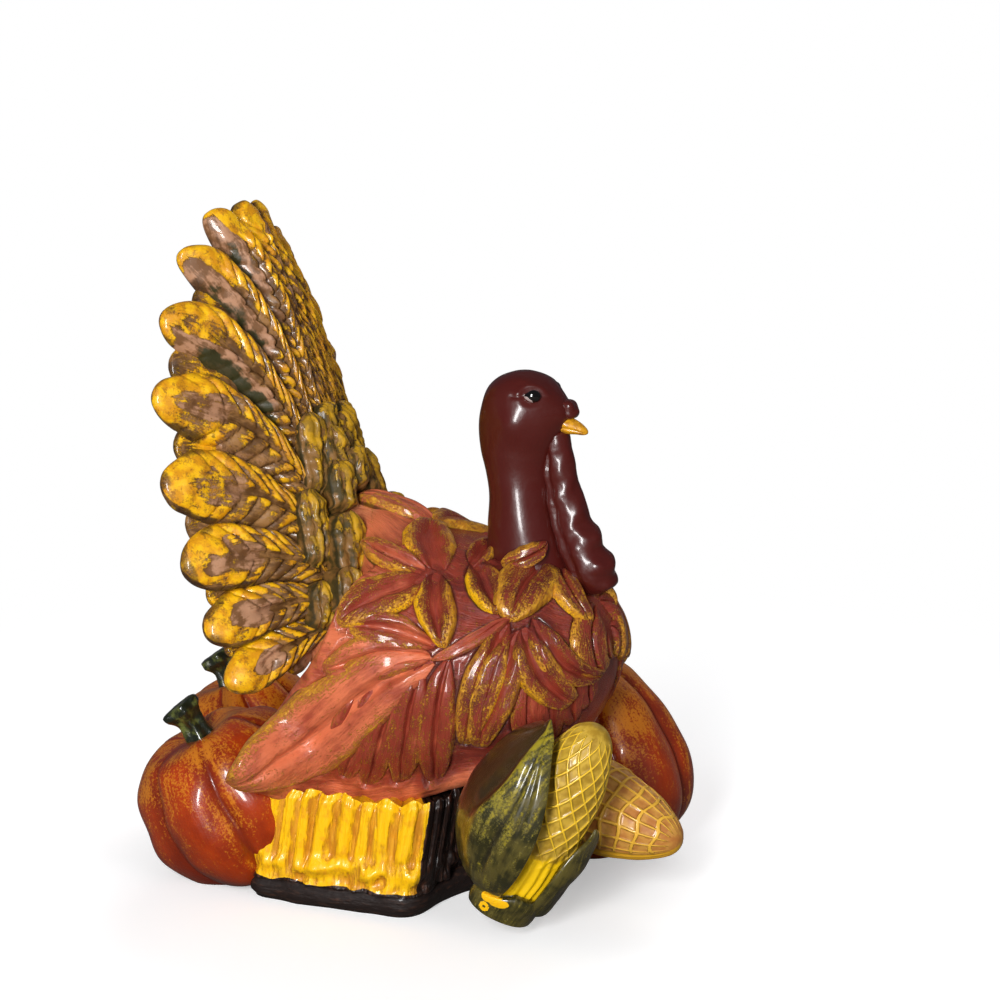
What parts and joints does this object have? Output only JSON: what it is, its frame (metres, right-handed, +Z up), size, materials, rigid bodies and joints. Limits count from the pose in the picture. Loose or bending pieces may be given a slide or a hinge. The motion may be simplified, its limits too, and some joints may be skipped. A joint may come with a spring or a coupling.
{
  "type": "thanksgiving turkey figure",
  "caption": "Cast and painted turkey figure with a spread tail fan, sitting on a hay bale among pumpkins and corn; a free-standing table decoration.",
  "frame": {"origin": "on the table, under the body, at the underside of the base slab", "axes": "+X ahead of the bird, -Y its right side, +Z up"},
  "size_m": [0.1679, 0.1189, 0.1887],
  "materials": {
    "slab_brown": "hand-painted and varnished casting",
    "straw_yellow": "hand-painted and varnished casting",
    "brick_red": "hand-painted and varnished casting",
    "maroon": "hand-painted and varnished casting",
    "eye_black": "hand-painted and varnished casting",
    "beak_ochre": "hand-painted and varnished casting",
    "salmon": "hand-painted and varnished casting",
    "leaf_red": "hand-painted and varnished casting",
    "tail_gold": "hand-painted and varnished casting",
    "covert_olive": "hand-painted and varnished casting",
    "pumpkin_orange": "hand-painted and varnished casting",
    "stem_green": "hand-painted and varnished casting",
    "corn_yellow": "hand-painted and varnished casting",
    "husk_green": "hand-painted and varnished casting"
  },
  "bodies": {
    "root": {"base_slab": "slab_brown", "hay_bale": "straw_yellow", "body": "brick_red", "neck_and_head": "maroon", "eye_right": "eye_black", "eye_left": "eye_black", "beak": "beak_ochre", "snood": "maroon", "wattle": "maroon", "wing_plate_right": "salmon", "primaries_right": "salmon", "secondaries_right": "leaf_red", "middle_feathers_right": "leaf_red", "upper_feathers_right": "leaf_red", "shoulder_feathers_right": "leaf_red", "breast_feathers_right": "leaf_red", "wing_plate_left": "salmon", "primaries_left": "salmon", "secondaries_left": "leaf_red", "middle_feathers_left": "leaf_red", "upper_feathers_left": "leaf_red", "shoulder_feathers_left": "leaf_red", "breast_feathers_left": "leaf_red", "tail_feather_01": "tail_gold", "tail_feather_02": "tail_gold", "tail_feather_03": "tail_gold", "tail_feather_04": "tail_gold", "tail_feather_05": "tail_gold", "tail_feather_06": "tail_gold", "tail_feather_07": "tail_gold", "tail_feather_08": "tail_gold", "tail_feather_09": "tail_gold", "tail_feather_10": "tail_gold", "tail_feather_11": "tail_gold", "tail_feather_12": "tail_gold", "tail_feather_13": "tail_gold", "tail_feather_14": "tail_gold", "tail_feather_15": "tail_gold", "tail_feather_16": "tail_gold", "tail_feather_17": "tail_gold", "tail_covert_1": "covert_olive", "tail_covert_2": "covert_olive", "tail_covert_3": "covert_olive", "tail_covert_4": "covert_olive", "tail_covert_5": "covert_olive", "tail_covert_6": "covert_olive", "tail_covert_7": "covert_olive", "pumpkin_near": "pumpkin_orange", "pumpkin_stem_near": "stem_green", "pumpkin_far": "pumpkin_orange", "pumpkin_stem_far": "stem_green", "pumpkin_front": "pumpkin_orange", "pumpkin_stem_front": "stem_green", "corn_cob_upright": "corn_yellow", "corn_cob_side": "corn_yellow", "husk_leaf_outer": "husk_green", "husk_leaf_inner": "husk_green", "husk_leaf_front": "husk_green"}
  },
  "joints": []
}
